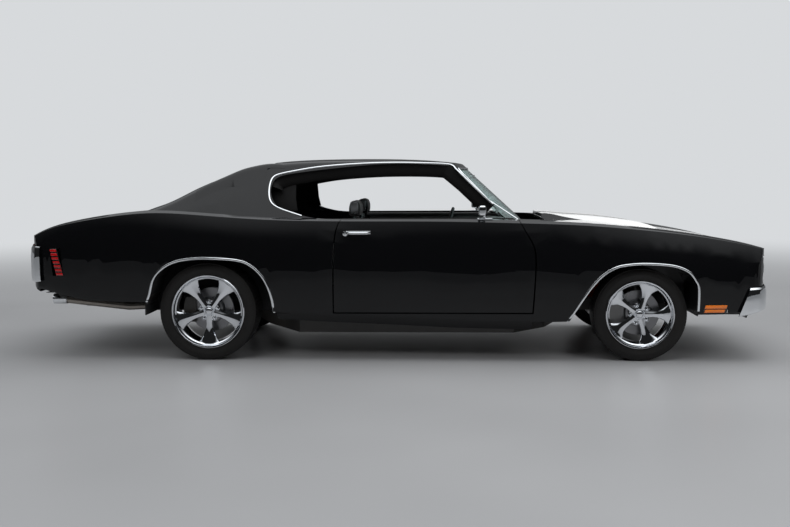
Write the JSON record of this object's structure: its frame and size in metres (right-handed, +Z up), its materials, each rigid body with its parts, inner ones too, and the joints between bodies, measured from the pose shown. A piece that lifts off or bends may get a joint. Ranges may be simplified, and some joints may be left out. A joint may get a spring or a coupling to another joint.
{
  "type": "muscle car",
  "caption": "Hardtop muscle car with a raised hood, chrome bumpers, bucket seats and spoked wheels; its doors, hood, deck lid, steering and wheels all move.",
  "frame": {"origin": "on the floor below the middle of the overall length and width", "axes": "+X towards the front of the car, +Y towards its left side, +Z up"},
  "size_m": [5.009, 1.9154, 1.336],
  "materials": {
    "body_paint": "gloss black paint",
    "chassis_paint": "satin black paint",
    "engine_paint": "gloss orange engine paint",
    "bright_chrome": "polished",
    "clear_glass": "clear",
    "lamp_glass": "clear, fluted",
    "red_lens": "translucent red",
    "amber_lens": "translucent amber",
    "black_plastic": "satin black",
    "black_vinyl": "grained",
    "wheel_metal": "satin grey with a polished lip",
    "tyre_rubber": "matt",
    "bare_steel": "machined",
    "exhaust_steel": "aluminised"
  },
  "bodies": {
    "car_body": {"body_shell": "body_paint", "front_fenders": "body_paint", "nose_panel": "body_paint", "grille": "black_plastic", "headlamps": "lamp_glass", "front_bumper": "bright_chrome", "rear_bumper": "bright_chrome", "tail_lamps": "red_lens", "front_markers": "amber_lens", "rear_markers": "red_lens", "windscreen": "clear_glass", "backlight": "clear_glass", "floor_tub": "chassis_paint", "chassis_frame": "chassis_paint", "engine_bay": "chassis_paint", "engine_block": "engine_paint", "exhaust_system": "exhaust_steel", "fuel_tank": "bare_steel", "front_suspension": "chassis_paint", "rear_axle": "chassis_paint", "dashboard": "black_vinyl", "console": "black_vinyl", "seat_right": "black_vinyl", "seat_left": "black_vinyl", "rear_seat": "black_vinyl", "wipers": "black_plastic"},
    "door_right": {"door_right": "body_paint", "door_trim_right": "bright_chrome"},
    "door_left": {"door_left": "body_paint", "door_trim_left": "bright_chrome"},
    "hood": {"hood": "body_paint"},
    "deck_lid": {"deck_lid": "body_paint"},
    "steering_wheel": {"steering_wheel": "black_plastic"},
    "knuckle_right": {"knuckle_right": "bare_steel"},
    "knuckle_left": {"knuckle_left": "bare_steel"},
    "wheel_front_right": {"wheel_front_right": "wheel_metal", "tyre_front_right": "tyre_rubber"},
    "wheel_front_left": {"wheel_front_left": "wheel_metal", "tyre_front_left": "tyre_rubber"},
    "wheel_rear_right": {"wheel_rear_right": "wheel_metal", "tyre_rear_right": "tyre_rubber"},
    "wheel_rear_left": {"wheel_rear_left": "wheel_metal", "tyre_rear_left": "tyre_rubber"}
  },
  "joints": [
    {"name": "door_right_hinge", "type": "hinge", "parent": "car_body", "child": "door_right", "pos_m": [0.85, -0.918, 0.535], "axis": [0, 0, 1], "range_deg": [0, 65]},
    {"name": "door_left_hinge", "type": "hinge", "parent": "car_body", "child": "door_left", "pos_m": [0.85, 0.918, 0.535], "axis": [0, 0, -1], "range_deg": [0, 65]},
    {"name": "hood_hinge", "type": "hinge", "parent": "car_body", "child": "hood", "pos_m": [1.016, 0, 0.862], "axis": [0, -1, 0], "range_deg": [0, 50]},
    {"name": "deck_lid_hinge", "type": "hinge", "parent": "car_body", "child": "deck_lid", "pos_m": [-1.484, 0, 0.95277], "axis": [0, 1, 0], "range_deg": [0, 70]},
    {"name": "steering_wheel_turn", "type": "hinge", "parent": "car_body", "child": "steering_wheel", "pos_m": [0.352, 0.37, 0.8], "axis": [-0.9538, 0, 0.3004], "range_deg": [-480, 480]},
    {"name": "steer_right", "type": "hinge", "parent": "car_body", "child": "knuckle_right", "pos_m": [1.6145, -0.7, 0.306], "axis": [0, 0, 1], "range_deg": [-30, 30]},
    {"name": "steer_left", "type": "hinge", "parent": "car_body", "child": "knuckle_left", "pos_m": [1.6145, 0.7, 0.306], "axis": [0, 0, 1], "range_deg": [-30, 30]},
    {"name": "wheel_front_right_spin", "type": "hinge", "parent": "knuckle_right", "child": "wheel_front_right", "pos_m": [1.6145, -0.765, 0.306], "axis": [0, 1, 0], "continuous": true},
    {"name": "wheel_front_left_spin", "type": "hinge", "parent": "knuckle_left", "child": "wheel_front_left", "pos_m": [1.6145, 0.765, 0.306], "axis": [0, 1, 0], "continuous": true},
    {"name": "wheel_rear_right_spin", "type": "hinge", "parent": "car_body", "child": "wheel_rear_right", "pos_m": [-1.2305, -0.76, 0.325], "axis": [0, 1, 0], "continuous": true},
    {"name": "wheel_rear_left_spin", "type": "hinge", "parent": "car_body", "child": "wheel_rear_left", "pos_m": [-1.2305, 0.76, 0.325], "axis": [0, 1, 0], "continuous": true}
  ],
  "couplings": [
    {"joint": "steer_left", "follows": "steer_right", "ratio": 1},
    {"joint": "steering_wheel_turn", "follows": "steer_right", "ratio": 16}
  ]
}
